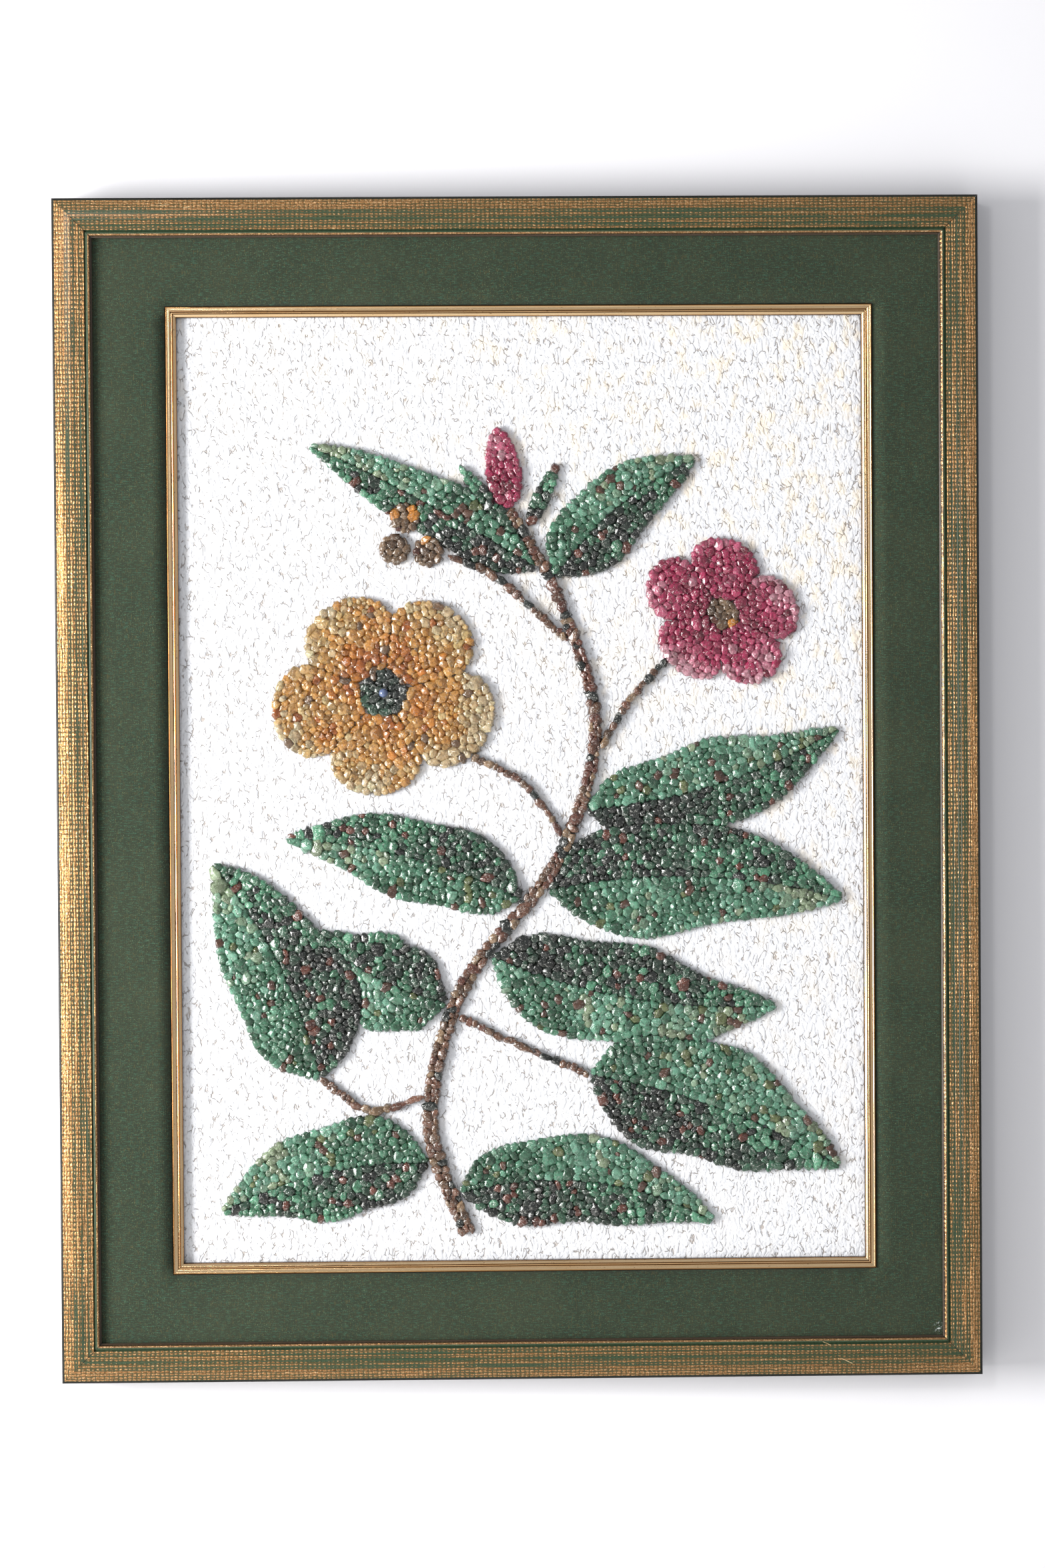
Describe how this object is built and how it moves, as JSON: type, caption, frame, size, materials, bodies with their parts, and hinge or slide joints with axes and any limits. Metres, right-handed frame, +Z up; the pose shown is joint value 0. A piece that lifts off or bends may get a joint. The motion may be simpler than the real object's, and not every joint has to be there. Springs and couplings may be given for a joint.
{
  "type": "mosaic panel",
  "caption": "Framed wall picture: a flowering spray of gem chips glued on a white rough board, in a green linen mat with gold fillet and a gilded green frame.",
  "frame": {"origin": "middle of the flat back of the top frame rail, where the picture hangs against the wall", "axes": "+X to the right as seen from the front, +Y into the wall, +Z up; the picture faces -Y"},
  "size_m": [0.5476, 0.029, 0.7012],
  "materials": {
    "gilded_wood": "green paint with rubbed gold stripes, satin",
    "green_linen": "fine dark green linen on board, matt",
    "gold_fillet": "gold leaf on ribbed wood, soft sheen",
    "white_plaster": "white rough plaster coat on board, matt",
    "amber_chips": "tumbled amber and cream quartz chips, glossy",
    "raspberry_chips": "tumbled raspberry pink chips, glossy",
    "smoky_chips": "tumbled smoky brown chips, glossy",
    "black_green_chips": "tumbled green-black chips, glossy",
    "bark_chips": "tumbled red-brown chips, glossy",
    "light_green_chips": "tumbled light green translucent chips, glossy",
    "dark_green_chips": "tumbled dark green translucent chips, glossy"
  },
  "bodies": {
    "root": {"frame_rail_top": "gilded_wood", "frame_rail_left": "gilded_wood", "frame_rail_bottom": "gilded_wood", "frame_rail_right": "gilded_wood", "linen_mat": "green_linen", "ground_board": "white_plaster", "fillet_top": "gold_fillet", "fillet_left": "gold_fillet", "fillet_bottom": "gold_fillet", "fillet_right": "gold_fillet", "amber_flower_center": "black_green_chips", "amber_flower_petal_1": "amber_chips", "amber_flower_petal_2": "amber_chips", "amber_flower_petal_3": "amber_chips", "amber_flower_petal_4": "amber_chips", "amber_flower_petal_5": "amber_chips", "raspberry_flower_center": "smoky_chips", "raspberry_flower_petal_1": "raspberry_chips", "raspberry_flower_petal_2": "raspberry_chips", "raspberry_flower_petal_3": "raspberry_chips", "raspberry_flower_petal_4": "raspberry_chips", "raspberry_flower_petal_5": "raspberry_chips", "stem": "bark_chips", "twig_amber_flower": "bark_chips", "twig_raspberry_flower": "bark_chips", "twig_lower_left": "bark_chips", "twig_lower_right": "bark_chips", "twig_berries": "bark_chips", "bud": "raspberry_chips", "calyx_left": "dark_green_chips", "calyx_right": "dark_green_chips", "berry_1": "smoky_chips", "berry_2": "smoky_chips", "berry_3": "smoky_chips", "leaf_foot_right_light": "light_green_chips", "leaf_foot_right_dark": "dark_green_chips", "leaf_foot_left_light": "light_green_chips", "leaf_foot_left_dark": "dark_green_chips", "leaf_low_left_light": "light_green_chips", "leaf_low_left_dark": "dark_green_chips", "leaf_inner_left_light": "light_green_chips", "leaf_inner_left_dark": "dark_green_chips", "leaf_low_right_light": "light_green_chips", "leaf_low_right_dark": "dark_green_chips", "leaf_mid_right_light": "light_green_chips", "leaf_mid_right_dark": "dark_green_chips", "leaf_broad_right_light": "light_green_chips", "leaf_broad_right_dark": "dark_green_chips", "leaf_high_right_light": "light_green_chips", "leaf_high_right_dark": "dark_green_chips", "leaf_under_flower_light": "light_green_chips", "leaf_under_flower_dark": "dark_green_chips", "leaf_top_right_light": "light_green_chips", "leaf_top_right_dark": "dark_green_chips", "leaf_top_left_light": "light_green_chips", "leaf_top_left_dark": "dark_green_chips"}
  },
  "joints": []
}
